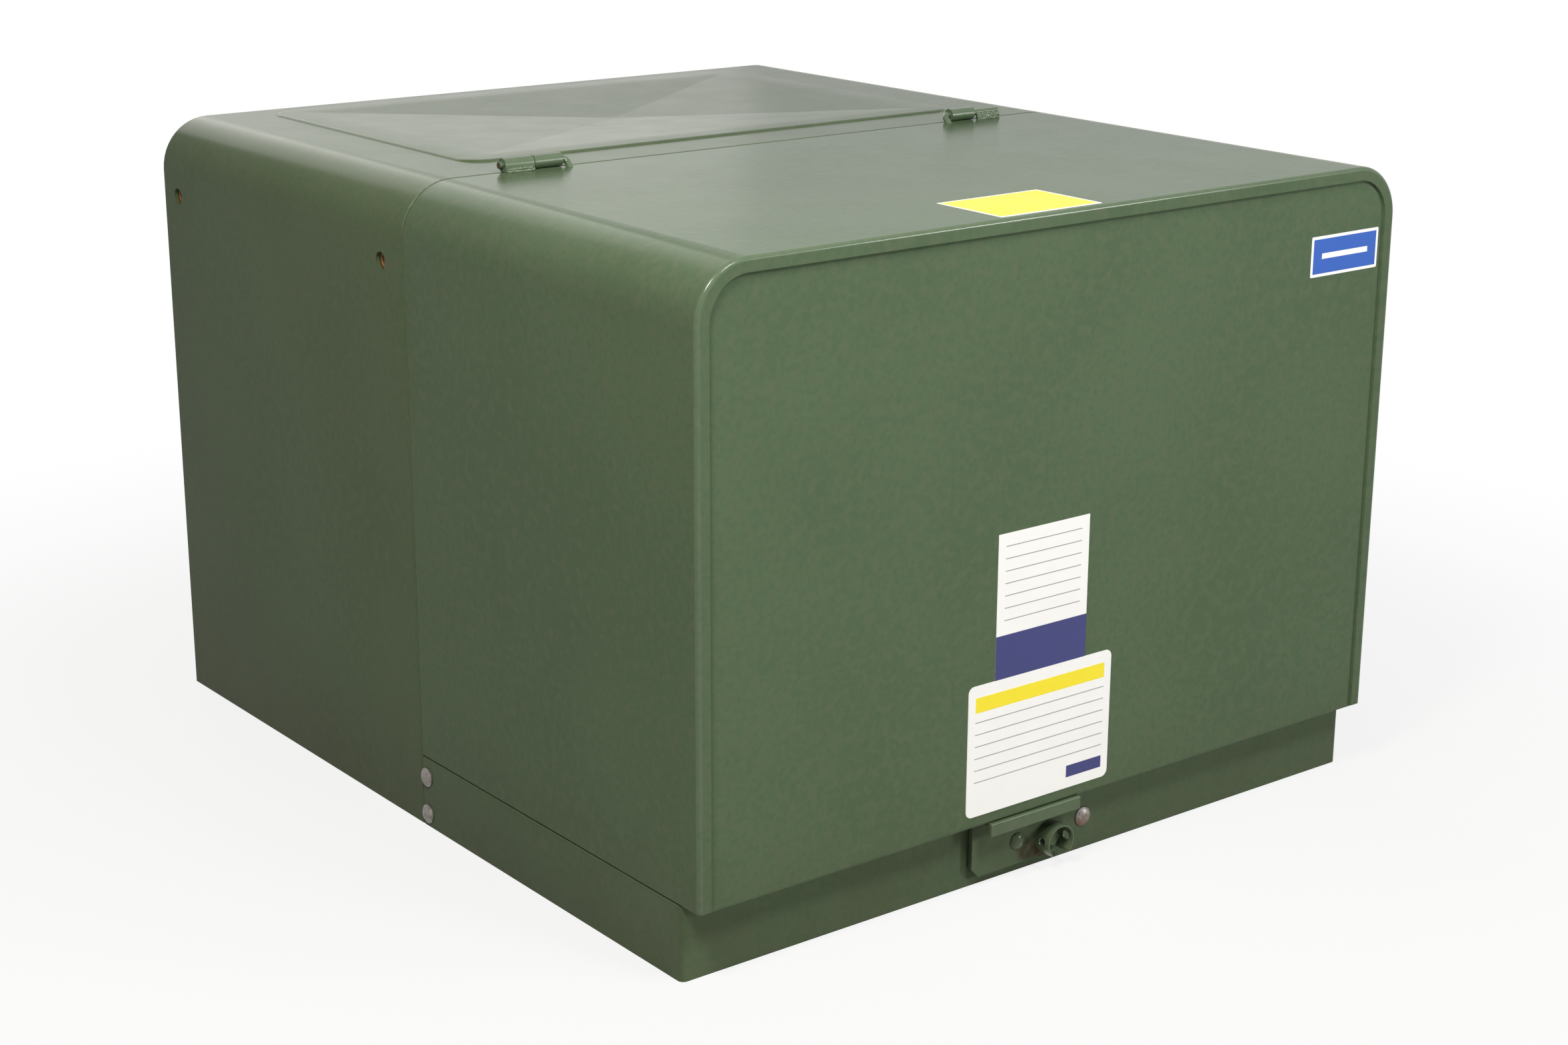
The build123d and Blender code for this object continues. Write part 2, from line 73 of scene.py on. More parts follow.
# How much the enamel mirrors on plain sheet, on the latch, on the rolled edge and on the hinges
SHEET_SHINE, SATIN_SHINE, ROLLED_SHINE, GLOSS_SHINE = 0.04, 0.16, 0.3, 0.5

# The kinds of node that are used most
NOISE, MATHS, RANGE, MIX = "ShaderNodeTexNoise", "ShaderNodeMath", "ShaderNodeMapRange", "ShaderNodeMix"

# The Mix node's colour inputs, which share their names with its other kinds
MIX_FIRST, MIX_SECOND = 6, 7

# Where the frame's solids lie
tank_low, tank_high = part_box("tank_wrap")
hood_low, hood_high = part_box("hood_wrap")
panel_low, panel_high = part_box("hood_front_panel")
sill_low, sill_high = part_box("sill")
cover_low, cover_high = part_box("tank_cover")
latch_low, latch_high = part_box("latch_plate")
front_wall_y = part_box("tank_front_wall")[0].y
rear_wall_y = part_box("tank_rear_wall")[1].y

# Fittings that stand on the tank's front wall
PRIMARIES = ("primary_bushing_1", "primary_bushing_2")
SECONDARIES = ("secondary_bushing_1", "secondary_bushing_2", "secondary_bushing_3")


def middle(node):
    """The middle of a solid's box."""
    low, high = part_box(node)
    return (low + high) / 2


def on_wall(node):
    """Where a fitting's axis meets the tank's front wall."""
    place = middle(node)
    return Vector((place.x, front_wall_y, place.z))


def at_end(node):
    """Where a fitting's axis leaves its front end."""
    place = middle(node)
    return Vector((place.x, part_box(node)[0].y, place.z))


def linear(code):
    """An sRGB hex colour as linear red, green and blue."""
    shares = [int(code[place:place + 2], 16) / 255 for place in (0, 2, 4)]
    return tuple(s / 12.92 if s <= 0.04045 else ((s + 0.055) / 1.055) ** 2.4 for s in shares)


def colour_setting(name, code, description):
    return bpy.props.FloatVectorProperty(name=name, description=description, subtype="COLOR", size=3,
                                         min=0, max=1, default=linear(code))


def length_setting(name, millimetres, description):
    return bpy.props.FloatProperty(name=name, description=description, unit="LENGTH", min=0,
                                   default=millimetres * MM)


def share_setting(name, share, description):
    return bpy.props.FloatProperty(name=name, description=description, subtype="FACTOR", min=0, max=1,
                                   default=share)


class CabinetColours(bpy.types.PropertyGroup):
    """Colours of the cabinet's finishes"""
    enamel: colour_setting("Enamel", "55674e", "Green enamel on all sheet metal")
    enamel_deep: colour_setting("Enamel, deep", "4f6149", "Green enamel where it lies thicker")
    enamel_warm: colour_setting("Enamel, warm", "58654e", "Green enamel where it has browned a little")
    stain: colour_setting("Stain", "3f3828", "Brown run-off under the latch's bare fasteners")
    dirt: colour_setting("Dirt", "4d4a38", "Dirt splashed on the enamel near the ground")
    zinc: colour_setting("Zinc", "8f8a85", "Bright zinc on the sill's bolts")
    rust: colour_setting("Rust", "6b4a30", "Rust that creeps in from a bolt's lower rim")
    thread: colour_setting("Bare thread", "7a5a35", "Unpainted thread in the lifting bosses")
    rubber: colour_setting("Rubber", "1c1d1e", "Moulded black rubber of the high-voltage fittings")
    epoxy: colour_setting("Epoxy", "6b3a2c", "Cast brown epoxy of the low-voltage bushings")
    tin: colour_setting("Tin", "c6c5c0", "Tin plate on the copper terminals")
    brass: colour_setting("Brass", "b8945a", "Turned brass of the valves")
    aluminium: colour_setting("Aluminium", "c4c5c6", "Satin aluminium of the blank plate")
    core: colour_setting("Core steel", "4a4a4c", "Oiled core steel inside the tank")
    film_white: colour_setting("White film", "f2f2f0", "White vinyl film")
    film_yellow: colour_setting("Yellow film", "f2df1c", "Yellow vinyl film")
    film_blue: colour_setting("Blue film", "0a52b2", "Bright blue vinyl film")
    film_navy: colour_setting("Navy film", "2b2f6e", "Navy vinyl film")
    film_grey: colour_setting("Grey print", "8e8f92", "Grey printed rules")


class CabinetDetails(bpy.types.PropertyGroup):
    """Sizes of the details that are added to the frame"""
    bend: length_setting("Top bend", 54, "Outer radius of the bends between the top and the sides")
    cover_bend: length_setting("Cover corner", 30, "Radius of the cover panel's corners")
    cover_rise: length_setting("Cover rise", 1.9, "Height of the soft step round the cover panel")
    cover_slope: length_setting("Cover step", 7, "Width of the soft step round the cover panel")
    cover_side_share: share_setting("Cover side share", 0.75, "Width of the step at the sides, as a share")
    cover_border: length_setting("Cover border", 17, "Width of the flat border inside the step")
    cover_dish: length_setting("Cover dish", 9, "Depth of the creased dish inside the border")
    seam_opening: length_setting("Seam opening", 1.7, "What is left open between hood and tank at the sides")
    seam_top_share: share_setting("Seam top share", 0.9, "How much wider the seam is on top, as a share")
    sill_opening: length_setting("Sill opening", 1.6, "What is left open between hood and sill")
    sill_bend: length_setting("Sill bend", 6, "Outer radius of the sill's front corners")
    flange_bend: length_setting("Flange bend", 4, "Radius of the roll round the hood's front edge")
    plate: length_setting("Plate", 4, "Thickness of the tank's plate")
    bead_radius: length_setting("Bead radius", 2.6, "Radius of a weld bead")
    bead_pitch: length_setting("Bead pitch", 4.2, "Distance from one ripple of a weld to the next")
    bead_lump: length_setting("Bead lump", 1.1, "Height of the uneven lumps along the tank's welds")
    hinge_lump: length_setting("Hinge lump", 4.5, "Height of the spattered lumps along the hood's welds")
    panel_roll: length_setting("Panel roll", 2.2, "How far the front panel's rolled edge hangs down")
    latch_opening: length_setting("Latch opening", 2, "What is left open between latch plate and sill")
    thread_pitch: length_setting("Thread pitch", 2.3, "Pitch of the lifting threads, 11 to the inch")
    thread_depth: length_setting("Thread depth", 1.25, "Height of the thread's ridge")
    film: length_setting("Film", 0.3, "Thickness of a label")
    print_height: length_setting("Print", 0.06, "Height of the print on a label")


class StageSettings(bpy.types.PropertyGroup):
    """Camera and light of the plain studio"""
    camera_place: bpy.props.FloatVectorProperty(
        name="Camera place", description="Where the camera stands", subtype="TRANSLATION", unit="LENGTH",
        default=(-1.6621, -2.1988, 1.0701))
    camera_turn: bpy.props.FloatVectorProperty(
        name="Camera turn", description="Pitch below the horizon, turn to the right and roll",
        subtype="EULER", unit="ROTATION",
        default=(math.radians(16.888), math.radians(37.812), math.radians(0.238)))
    lens: bpy.props.FloatProperty(name="Lens", description="Focal length on a 36 mm wide sensor",
                                  unit="CAMERA", default=60.77)
    room_light: bpy.props.FloatProperty(name="Room light", description="Even light from all round",
                                        min=0, default=0)
    floor: colour_setting("Floor", "d2d2d0", "Pale floor")


def add_node(tree, kind, inputs=(), **settings):
    """Adds a node with its settings, and sets or links its inputs, given in order or by name or number.

    A node among the inputs stands for its first output in use.
    """
    made = tree.nodes.new(kind)
    for key, value in settings.items():
        setattr(made, key, value)
    for key, value in inputs.items() if isinstance(inputs, dict) else enumerate(inputs):
        if isinstance(value, bpy.types.Node):
            value = next(socket for socket in value.outputs if socket.enabled)
        if isinstance(value, bpy.types.NodeSocket):
            tree.links.new(value, made.inputs[key])
        else:
            made.inputs[key].default_value = value
    return made


def new_material(name):
    """An empty node material, what adds nodes to it, and the place of its parts in metres."""
    material = bpy.data.materials.new(name)
    material.use_nodes = True
    material.node_tree.nodes.clear()
    add = partial(add_node, material.node_tree)
    return material, add, add("ShaderNodeTexCoord").outputs["Object"]


def per_metre(millimetres):
    """The scale of a pattern whose features are that large, on Object coordinates in metres."""
    return 1 / (millimetres * MM)


def shade(colour):
    return (*colour, 1)


def tinted(colour, shares):
    return tuple(channel * share for channel, share in zip(colour, shares))


def darker(colour, share):
    return tinted(colour, (share, share, share))


def green_enamel(colours, name, shine, stains=(), age=(1, 1, 1)):
    """Enamel sprayed on steel.

    The eye gets an even dark green, faintly mottled, with orange peel that blurs reflections, a slow wave in
    the sheet that bends them, and some splashed dirt near the ground. Shine is how much it mirrors. Stains
    are brown run-offs, each a place and a radius. The last argument scales each channel of the greens down:
    painted shade, used to darken and warm the tank's enamel.
    """
    material, add, place = new_material(name)
    greens = (colours.enamel_deep, colours.enamel, colours.enamel_warm)
    deep, even, warm = (shade(tinted(green, age)) for green in greens)
    # The size of each pattern's features in millimetres, and its detail
    patterns = {"mottle": (6, 4), "drift": (160, 1), "browning": (12, 3), "drops": (55, 4), "ragged": (11, 4),
                "gloss": (45, 2), "wave": (190, 1), "peel": (3.5, 2)}
    noise = {use: add(NOISE, {"Vector": place, "Scale": per_metre(size), "Detail": detail})
             for use, (size, detail) in patterns.items()}
    depth = add(MATHS, (noise["mottle"], noise["drift"]), operation="MULTIPLY")
    thin = add(RANGE, {"Value": depth, "From Min": 0.15, "From Max": 0.4})
    browned = add(RANGE, {"Value": noise["browning"], "From Min": 0.45, "From Max": 0.7})
    dirt_height, dirt_share = 170 * MM, 0.55
    height = add("ShaderNodeSeparateXYZ", {"Vector": place}).outputs["Z"]
    splash = add(RANGE, {"Value": height, "From Min": dirt_height, "From Max": 0, "To Max": dirt_share},
                 interpolation_type="SMOOTHSTEP")
    dirt = add(MATHS, (splash, noise["drops"]), operation="MULTIPLY")
    coats = [(thin, even), (browned, warm), (dirt, shade(colours.dirt))]
    for centre, radius in stains:
        away = add("ShaderNodeVectorMath", (place, centre), operation="DISTANCE")
        edge = add(RANGE, {"Value": away, "From Min": radius, "From Max": radius * 0.35},
                   interpolation_type="SMOOTHSTEP")
        patchy = add(RANGE, {"Value": noise["ragged"], "From Min": 0.35, "From Max": 0.6, "To Min": 0.5})
        share = add(MATHS, (edge, patchy), operation="MULTIPLY")
        coats.append((share, shade(colours.stain)))
    colour = deep
    for share, coat in coats:
        colour = add(MIX, {0: share, MIX_FIRST: colour, MIX_SECOND: coat}, data_type="RGBA")
    rough = add(RANGE, {"Value": noise["gloss"], "To Min": 0.17, "To Max": 0.24})
    bent = add("ShaderNodeBump", {"Strength": 0.6, "Distance": 1 * MM, "Height": noise["wave"]})
    peeled = add("ShaderNodeBump",
                 {"Strength": 0.16, "Distance": 0.2 * MM, "Height": noise["peel"], "Normal": bent})
    shader = add("ShaderNodeBsdfPrincipled",
                 {"Base Color": colour, "Roughness": rough, "Specular IOR Level": shine, "Normal": peeled})
    add("ShaderNodeOutputMaterial", {"Surface": shader})
    return material


def zinc_plate(colours, name, rim=None):
    """Zinc-plated steel, with rust that creeps up from a rim if one is given.

    The eye gets a cool grey, dulled in patches. The rim is the height where the rust begins and the height
    where it is thickest.
    """
    material, add, place = new_material(name)
    patches = add(NOISE, {"Vector": place, "Scale": per_metre(5), "Detail": 4})
    rough = add(RANGE, {"Value": patches, "To Min": 0.3, "To Max": 0.55})
    spread = add(RANGE, {"Value": patches, "From Min": 0.35, "From Max": 0.65})
    dull = shade(darker(colours.zinc, 0.6))
    colour = add(MIX, {0: spread, MIX_FIRST: dull, MIX_SECOND: shade(colours.zinc)}, data_type="RGBA")
    metal = 0.65
    if rim:
        begins, thickest = rim
        height = add("ShaderNodeSeparateXYZ", {"Vector": place}).outputs["Z"]
        creep = add(RANGE, {"Value": height, "From Min": begins, "From Max": thickest})
        flakes = add(NOISE, {"Vector": place, "Scale": per_metre(2.4), "Detail": 5})
        reach = add(MATHS, (creep, flakes), operation="ADD")
        mask = add(RANGE, {"Value": reach, "From Min": 0.62, "From Max": 1.3},
                   interpolation_type="SMOOTHSTEP")
        colour = add(MIX, {0: mask, MIX_FIRST: colour, MIX_SECOND: shade(colours.rust)}, data_type="RGBA")
        metal = add(RANGE, {"Value": mask, "To Min": metal, "To Max": 0})
    bump = add("ShaderNodeBump", {"Strength": 0.3, "Distance": 0.2 * MM, "Height": patches})
    shader = add("ShaderNodeBsdfPrincipled",
                 {"Base Color": colour, "Metallic": metal, "Roughness": rough, "Normal": bump})
    add("ShaderNodeOutputMaterial", {"Surface": shader})
    return material


def speckled(name, first, second, grain, metallic, roughness, bump):
    """A cast, turned or moulded surface.

    The eye gets two close colours in grains, and a fine bump. Grain and bump are in millimetres.
    """
    material, add, place = new_material(name)
    grains = add(NOISE, {"Vector": place, "Scale": per_metre(grain), "Detail": 4})
    colour = add(MIX, {0: grains, MIX_FIRST: shade(first), MIX_SECOND: shade(second)}, data_type="RGBA")
    worn = add(RANGE, {"Value": grains, "To Min": roughness * 0.8, "To Max": roughness * 1.2})
    raised = add("ShaderNodeBump", {"Strength": 0.3, "Distance": bump * MM, "Height": grains})
    shader = add("ShaderNodeBsdfPrincipled",
                 {"Base Color": colour, "Metallic": metallic, "Roughness": worn, "Normal": raised})
    add("ShaderNodeOutputMaterial", {"Surface": shader})
    return material


def vinyl_film(name, colour):
    """Printed vinyl film: a flat colour under a satin skin that ripples a little where it was rubbed down."""
    return speckled(name, darker(colour, 0.96), colour, grain=25, metallic=0, roughness=0.38, bump=0.15)


def in_scene(name, data):
    """A new object, linked to the scene."""
    made = bpy.data.objects.new(name, data)
    bpy.context.scene.collection.objects.link(made)
    return made


def new_piece(name, mesh, body):
    """Puts a finished mesh in the scene, riding on a body."""
    piece = in_scene(name, mesh)
    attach(piece, body)
    return piece


def geometry_tree(name, sizes, turned=False):
    """An empty geometry tree, what adds nodes to it, and its inputs.

    The inputs are the path, the named sizes, a turn if it needs one, and the material.
    """
    tree = bpy.data.node_groups.new(name, "GeometryNodeTree")
    kinds = {"Geometry": "NodeSocketGeometry", **dict.fromkeys(sizes, "NodeSocketFloat")}
    if turned:
        kinds["Turn"] = "NodeSocketVector"
    kinds["Material"] = "NodeSocketMaterial"
    for title, kind in kinds.items():
        tree.interface.new_socket(title, in_out="INPUT", socket_type=kind)
    tree.interface.new_socket("Geometry", in_out="OUTPUT", socket_type="NodeSocketGeometry")
    add = partial(add_node, tree)
    return tree, add, add("NodeGroupInput").outputs


def end_tree(add, geometry, given, smooth):
    """Closes a geometry tree with plain, shaded meshes in the given material."""
    real = add("GeometryNodeRealizeInstances", {"Geometry": geometry})
    shaded = add("GeometryNodeSetShadeSmooth", {"Geometry": real, "Shade Smooth": smooth})
    coated = add("GeometryNodeSetMaterial", {"Geometry": shaded, "Material": given["Material"]})
    add("NodeGroupOutput", {"Geometry": coated})


def end_with_copies(add, shape, turn, given, smooth):
    """Closes a geometry tree with a turned copy of a shape at each point."""
    placed = add("GeometryNodeInstanceOnPoints",
                 {"Points": given["Geometry"], "Instance": shape, "Rotation": turn})
    end_tree(add, placed, given, smooth)


def grow(name, lines, tree, values, body):
    """Runs a geometry tree over lines or single points and keeps the result as one plain piece on a body."""
    path = bpy.data.meshes.new(f"{name}_path")
    points, edges = [], []
    for line in lines:
        first = len(points)
        points.extend(line)
        edges.extend((place, place + 1) for place in range(first, len(points) - 1))
    path.from_pydata(points, edges, [])
    carrier = in_scene(path.name, path)
    modifier = carrier.modifiers.new(name, "NODES")
    modifier.node_group = tree
    for socket in tree.interface.items_tree:
        if socket.in_out == "INPUT" and socket.name in values:
            modifier[socket.identifier] = values[socket.name]
    evaluated = carrier.evaluated_get(bpy.context.evaluated_depsgraph_get())
    mesh = bpy.data.meshes.new_from_object(evaluated)
    mesh.name = name
    if not mesh.polygons:
        raise RuntimeError(f"{name} came out empty")
    bpy.data.objects.remove(carrier)
    bpy.data.meshes.remove(path)
    new_piece(name, mesh, body)


def weld_tree():
    """A weld bead along each line: rippled, lumpy and rounded off at its ends."""
    tree, add, given = geometry_tree(
        "weld_bead", ("Bead Radius", "Ripple Pitch", "Ripple Depth", "Lump Height", "Lump Size"))
    pitch = given["Ripple Pitch"]
    line = add("GeometryNodeMeshToCurve", {"Mesh": given["Geometry"]})
    step = add(MATHS, (pitch, 4), operation="DIVIDE")
    fine = add("GeometryNodeResampleCurve", {"Curve": line, "Length": step}, mode="LENGTH")
    along = add("GeometryNodeSplineParameter").outputs
    turns = add(MATHS, (along["Length"], pitch), operation="DIVIDE")
    angle = add(MATHS, (turns, math.tau), operation="MULTIPLY")
    ripple = add(MATHS, (angle,), operation="SINE")
    swell = add(MATHS, (ripple, given["Ripple Depth"], 1), operation="MULTIPLY_ADD")
    # The ends close like half an ellipse of high order: full along the run, nothing at the tips
    signed = add(MATHS, (along["Factor"], 2, -1), operation="MULTIPLY_ADD")
    size = add(MATHS, (signed,), operation="ABSOLUTE")
    power = add(MATHS, (size, 16), operation="POWER")
    left = add(MATHS, (1, power), operation="SUBTRACT")
    taper = add(MATHS, (left,), operation="SQRT")
    girth = add(MATHS, (swell, taper), operation="MULTIPLY")
    outline = add("GeometryNodeCurvePrimitiveCircle", {"Resolution": 12, "Radius": given["Bead Radius"]})
    bead = add("GeometryNodeCurveToMesh",
               {"Curve": fine, "Profile Curve": outline, "Scale": girth, "Fill Caps": True})
    scale = add(MATHS, (1, given["Lump Size"]), operation="DIVIDE")
    lumps = add(NOISE, {"Scale": scale, "Detail": 2})
    centred = add(MATHS, (lumps, 0.5), operation="SUBTRACT")
    height = add(MATHS, (centred, given["Lump Height"]), operation="MULTIPLY")
    outward = add("GeometryNodeInputNormal").outputs["Normal"]
    push = add("ShaderNodeVectorMath", {0: outward, "Scale": height}, operation="SCALE")
    lumpy = add("GeometryNodeSetPosition", {"Geometry": bead, "Offset": push})
    end_tree(add, lumpy, given, smooth=True)
    return tree


def thread_tree():
    """A screw thread at each point: a pointed ridge that winds along the given direction."""
    tree, add, given = geometry_tree(
        "screw_thread", ("Thread Radius", "Thread Pitch", "Thread Length", "Thread Depth"), turned=True)
    radius, length = given["Thread Radius"], given["Thread Length"]
    turns = add(MATHS, (length, given["Thread Pitch"]), operation="DIVIDE")
    helix = add("GeometryNodeCurveSpiral",
                {"Resolution": 28, "Rotations": turns, "Start Radius": radius, "End Radius": radius,
                 "Height": length})
    upright = add("GeometryNodeSetCurveNormal", {"Curve": helix}, mode="Z_UP")
    ridge = add("GeometryNodeCurvePrimitiveCircle", {"Resolution": 4, "Radius": given["Thread Depth"]})
    wound = add("GeometryNodeCurveToMesh", {"Curve": upright, "Profile Curve": ridge, "Fill Caps": True})
    end_with_copies(add, wound, given["Turn"], given, smooth=False)
    return tree


def hex_tree():
    """A hexagon head or nut on its washer at each point, facing the front."""
    tree, add, given = geometry_tree(
        "hex_fasteners", ("Across Corners", "Head Height", "Washer Radius", "Washer Height"))
    half = add(MATHS, (given["Across Corners"], 0.5), operation="MULTIPLY")
    both = add("GeometryNodeJoinGeometry")
    # Corners, radius and height of the head and of its washer, and what each of them stands on
    for corners, radius, height, base in ((6, half, given["Head Height"], given["Washer Height"]),
                                          (20, given["Washer Radius"], given["Washer Height"], 0)):
        prism = add("GeometryNodeMeshCylinder", {"Vertices": corners, "Radius": radius, "Depth": height})
        lift = add(MATHS, (height, 0.5, base), operation="MULTIPLY_ADD")
        up = add("ShaderNodeCombineXYZ", {"Z": lift})
        raised = add("GeometryNodeTransform", {"Geometry": prism, "Translation": up})
        tree.links.new(raised.outputs[0], both.inputs[0])
    end_with_copies(add, both, FACING_FRONT, given, smooth=False)
    return tree


def ring_tree():
    """A round cord bent to a ring at each point, facing the front."""
    tree, add, given = geometry_tree("rings", ("Ring Radius", "Cord Radius"))
    ring = add("GeometryNodeCurvePrimitiveCircle", {"Resolution": 40, "Radius": given["Ring Radius"]})
    cord = add("GeometryNodeCurvePrimitiveCircle", {"Resolution": 10, "Radius": given["Cord Radius"]})
    bent = add("GeometryNodeCurveToMesh", {"Curve": ring, "Profile Curve": cord})
    end_with_copies(add, bent, FACING_FRONT, given, smooth=True)
    return tree


def arch_line(inset, bend, low, high, steps=10):
    """Points (x, z) and outward directions along the cabinet's rounded outline, from foot to foot."""
    side, top = tank_high.x - inset, high - inset
    radius = bend - inset
    rows = [((-side, low), (-1, 0))]
    for step in range(steps + 1):
        angle = math.pi - math.pi / 2 * step / steps
        out = (math.cos(angle), math.sin(angle))
        rows.append(((radius * out[0] - side + radius, top - radius + radius * out[1]), out))
    rows += [((-x, z), (-dx, dz)) for (x, z), (dx, dz) in reversed(rows)]
    return rows


def strip(name, rings, material, body):
    """A piece of green sheet: a closed strip through rings of points, with its ends filled."""
    mesh = bpy.data.meshes.new(name)
    shape = bmesh.new()
    made = [[shape.verts.new(point) for point in ring] for ring in rings]
    for first, second in zip(made, made[1:]):
        count = len(first)
        for place in range(count):
            after = (place + 1) % count
            shape.faces.new((first[place], first[after], second[after], second[place]))
    shape.faces.new(made[0])
    shape.faces.new(made[-1])
    bmesh.ops.recalc_face_normals(shape, faces=shape.faces)
    shape.to_mesh(mesh)
    shape.free()
    mesh.shade_smooth()
    mesh.set_sharp_from_angle(angle=math.radians(50))
    mesh.materials.append(material)
    return new_piece(name, mesh, body)


def rounded_outline(left, bottom, right, top, radius, steps=5):
    """A rectangle with rounded corners, counter-clockwise from its lower right corner."""
    if not radius:
        return [(right, bottom), (right, top), (left, top), (left, bottom)]
    corners = ((right - radius, bottom + radius, -90), (right - radius, top - radius, 0),
               (left + radius, top - radius, 90), (left + radius, bottom + radius, 180))
    points = []
    for across, up, start in corners:
        for step in range(steps + 1):
            angle = math.radians(start + 90 * step / steps)
            points.append((across + radius * math.cos(angle), up + radius * math.sin(angle)))
    return points


def label(name, fields, lay, body):
    """A piece that is a stack of thin films.

    A field is an outline in metres, the heights of its underside and its face, and a material. Lay turns a
    place across, a place up and a height into a point of the frame.
    """
    mesh = bpy.data.meshes.new(name)
    shape = bmesh.new()
    for outline, under, over, material in fields:
        if material.name not in mesh.materials:
            mesh.materials.append(material)
        slot = mesh.materials.find(material.name)
        low = [shape.verts.new(lay(across, up, under)) for across, up in outline]
        high = [shape.verts.new(lay(across, up, over)) for across, up in outline]
        faces = [shape.faces.new(high), shape.faces.new(reversed(low))]
        for place in range(len(outline)):
            after = (place + 1) % len(outline)
            faces.append(shape.faces.new((low[place], low[after], high[after], high[place])))
        for face in faces:
            face.material_index = slot
    shape.to_mesh(mesh)
    shape.free()
    new_piece(name, mesh, body)


class TRANSFORMER_OT_finish_solids(bpy.types.Operator):
    """Give every solid of the frame its finish"""
    bl_idname = "transformer.finish_solids"
    bl_label = "Finish the solids"

    def execute(self, context):
        colours = context.scene.cabinet_colours
        finishes = {"green_paint": green_enamel(colours, "semi_gloss_green_enamel", SHEET_SHINE),
                    "plain_steel": zinc_plate(colours, "bright_zinc_plate")}
        # Slot, finish, colour, its share in the darker grains, grain size, metallic, roughness and bump
        grained = (("threaded_steel", "bare_rusted_thread", colours.thread, 0.5, 2, 0.6, 0.5, 0.3),
                   ("core_steel", "oiled_core_steel", colours.core, 0.8, 4, 0.5, 0.4, 0.1),
                   ("bushing_rubber", "moulded_black_rubber", colours.rubber, 0.7, 1.5, 0, 0.45, 0.1),
                   ("bushing_epoxy", "cast_brown_epoxy", colours.epoxy, 0.85, 9, 0, 0.25, 0.1),
                   ("tinned_copper", "tinned_copper", colours.tin, 0.85, 3, 1, 0.32, 0.1),
                   ("valve_brass", "turned_brass", colours.brass, 0.8, 2.5, 1, 0.3, 0.1),
                   ("plate_aluminium", "satin_aluminium", colours.aluminium, 0.9, 1.2, 1, 0.4, 0.1))
        for slot, name, colour, share, *surface in grained:
            finishes[slot] = speckled(name, colour, darker(colour, share), *surface)

        rivet, bolt, barrel = map(middle, ("latch_rivet", "sill_front_bolt", "hinge_barrel_hood_left"))
        # How far each run-off lies to the right of the rivet and below it, and its radius
        stains = [((rivet.x + right * MM, latch_low.y, rivet.z - down * MM), radius * MM)
                  for right, down, radius in ((12, 13, 17), (31, 20, 20))]
        # Two stains in one place leave little of the green on the end of the pin
        bare_end = [((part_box("hinge_pin_left")[0].x, barrel.y, barrel.z), 4.5 * MM)] * 2
        # Rust begins in the upper half of the bolt's head and grows towards its lower rim
        rim = (bolt.z + 9 * MM, bolt.z - 13 * MM)
        gloss = green_enamel(colours, "gloss_green_enamel", GLOSS_SHINE)
        # A darker, warmer copy of the enamel for the tank: painted shade, so that the tank's sides stand
        # darker than the hood's
        aged = green_enamel(colours, "aged_green_enamel", SHEET_SHINE, age=(0.95, 0.925, 0.85))
        satin = green_enamel(colours, "satin_green_enamel", SATIN_SHINE)
        special = {
            "hinge_pin_left": green_enamel(colours, "worn_gloss_green_enamel", GLOSS_SHINE, bare_end),
            "latch_plate": green_enamel(colours, "stained_green_enamel", SHEET_SHINE, stains),
            "sill_front_bolt": zinc_plate(colours, "weathered_zinc_plate", rim),
            **dict.fromkeys(("tank_wrap", "tank_rear_wall"), aged),
            **dict.fromkeys(("hinge_barrel_tank_left", "hinge_barrel_tank_right", "hinge_barrel_hood_left",
                             "hinge_pin_right"), gloss),
            **dict.fromkeys(("latch_guard", "latch_rivet", "lock_cup", "lock_bolt"), satin),
        }
        for row in frame["record"]["subparts"]:
            solid = frame["nodes"][row["node"]]
            finish = special.get(row["node"], finishes[row["material_slot"]])
            solid.data.materials.clear()
            solid.data.materials.append(finish)
        return {"FINISHED"}


class TRANSFORMER_OT_cover(bpy.types.Operator):
    """Press the tank's cover: a soft step, a flat border and a dish creased to its corners"""
    bl_idname = "transformer.cover"
    bl_label = "Cover panel"

    def execute(self, context):
        details = context.scene.cabinet_details
        rise = details.cover_rise
        mouth = details.cover_slope + details.cover_border
        centre = (cover_low + cover_high) / 2
        # Each row is an inset from the cover's outline, a scale about its middle and a height over the tank.
        # The first one, the rim, lies inside the tank's plate
        rows = [(-0.3 * MM, 1, -0.5 * MM)]
        slope_steps = 10
        for step in range(slope_steps + 1):
            share = step / slope_steps
            rows.append((share * details.cover_slope, 1, rise * share * (2 - share)))
        # The dish turns down softly over the first shares of the way in, then runs straight to the middle
        soft = 0.08
        for share in (0, 0.016, 0.032, 0.048, 0.064, 0.08, 0.3, 0.5, 0.7, 0.9, 0.97):
            sunk = share * share / (2 * soft) if share < soft else share - soft / 2
            rows.append((mouth, 1 - share, rise - details.cover_dish * sunk))
        top, under = [], []
        for inset, scale, height in rows:
            side = inset if inset > details.cover_slope else inset * details.cover_side_share
            outline = rounded_outline(cover_low.x + side, cover_low.y + inset, cover_high.x - side,
                                      cover_high.y - inset, details.cover_bend - inset, steps=10)
            ring = [(centre.x + (x - centre.x) * scale, centre.y + (y - centre.y) * scale)
                    for x, y in outline]
            top.append([(x, y, tank_high.z + height) for x, y in ring])
            under.append([(x, y, tank_high.z + height - details.plate) for x, y in ring])
        # The tank's darker, warmer enamel, which carries painted shade
        aged = bpy.data.materials["aged_green_enamel"]
        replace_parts(strip("cover_panel", under[::-1] + top, aged, "tank"), "tank_cover")
        return {"FINISHED"}


